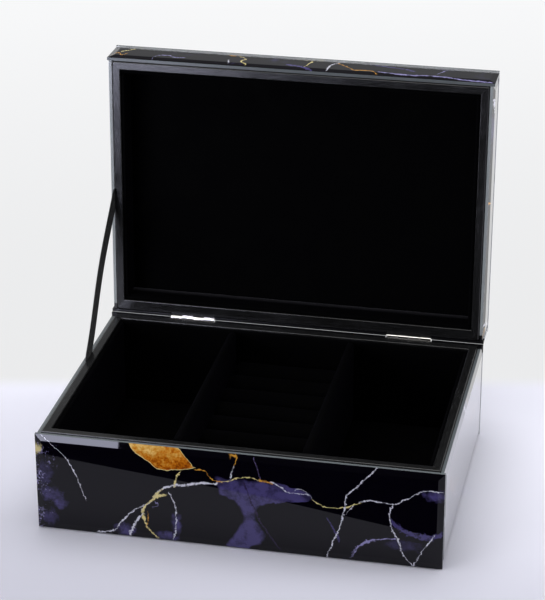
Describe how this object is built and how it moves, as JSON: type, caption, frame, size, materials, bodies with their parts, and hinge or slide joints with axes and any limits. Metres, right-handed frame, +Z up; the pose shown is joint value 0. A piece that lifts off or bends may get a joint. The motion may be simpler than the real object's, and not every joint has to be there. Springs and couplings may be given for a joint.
{
  "type": "jewelry gift box",
  "caption": "Open bevelled-glass jewelry box: black marble-print panels, velvet compartments, ring rolls, hinged lid on a ribbon stay.",
  "frame": {"origin": "centre of the underside of the base", "axes": "+X to the right, +Y to the back where the hinges are, +Z up"},
  "size_m": [0.24, 0.2005, 0.2339],
  "materials": {
    "black_lacquered_wood": "satin black lacquer",
    "printed_glass": "polished, back-printed black marble with orange, gold and violet veins",
    "velvet": "black velvet",
    "felt": "black felt",
    "adhesive": "matte black",
    "foam": "black foam",
    "nickel": "polished nickel",
    "screw_steel": "zinc plated",
    "ribbon": "black satin ribbon"
  },
  "bodies": {
    "base": {"base_board_front": "black_lacquered_wood", "base_board_rear": "black_lacquered_wood", "base_board_left": "black_lacquered_wood", "base_board_right": "black_lacquered_wood", "base_bottom_board": "black_lacquered_wood", "underside_felt": "felt", "base_glass_front": "printed_glass", "base_glass_rear": "printed_glass", "base_glass_left": "printed_glass", "base_glass_right": "printed_glass", "base_adhesive": "adhesive", "base_lining_floor": "velvet", "base_lining_front": "velvet", "base_lining_rear": "velvet", "base_lining_left": "velvet", "base_lining_right": "velvet", "divider_left": "velvet", "divider_right": "velvet", "foam_block": "foam", "ring_roll_1": "velvet", "ring_roll_2": "velvet", "ring_roll_3": "velvet", "ring_roll_4": "velvet", "ring_roll_5": "velvet", "ring_roll_6": "velvet", "ring_roll_7": "velvet", "ring_roll_8": "velvet", "hinge_left_base_leaf": "nickel", "hinge_right_base_leaf": "nickel", "hinge_left_pin": "nickel", "hinge_right_pin": "nickel", "hinge_base_screws": "screw_steel", "ribbon_stay": "ribbon"},
    "lid": {"lid_board_front": "black_lacquered_wood", "lid_board_rear": "black_lacquered_wood", "lid_board_left": "black_lacquered_wood", "lid_board_right": "black_lacquered_wood", "lid_top_board": "black_lacquered_wood", "lid_glass_front": "printed_glass", "lid_glass_rear": "printed_glass", "lid_glass_left": "printed_glass", "lid_glass_right": "printed_glass", "lid_glass_top": "printed_glass", "lid_adhesive": "adhesive", "lid_lining_panel": "velvet", "lid_lining_front": "velvet", "lid_lining_rear": "velvet", "lid_lining_left": "velvet", "lid_lining_right": "velvet", "hinge_left_lid_leaf": "nickel", "hinge_right_lid_leaf": "nickel", "hinge_lid_screws": "screw_steel"}
  },
  "joints": [
    {"name": "lid_hinge", "type": "hinge", "parent": "base", "child": "lid", "pos_m": [0, 0.0849, 0.0632], "axis": [1, 0, 0], "range_deg": [0, 91.5], "deforming": ["ribbon_stay"]}
  ]
}
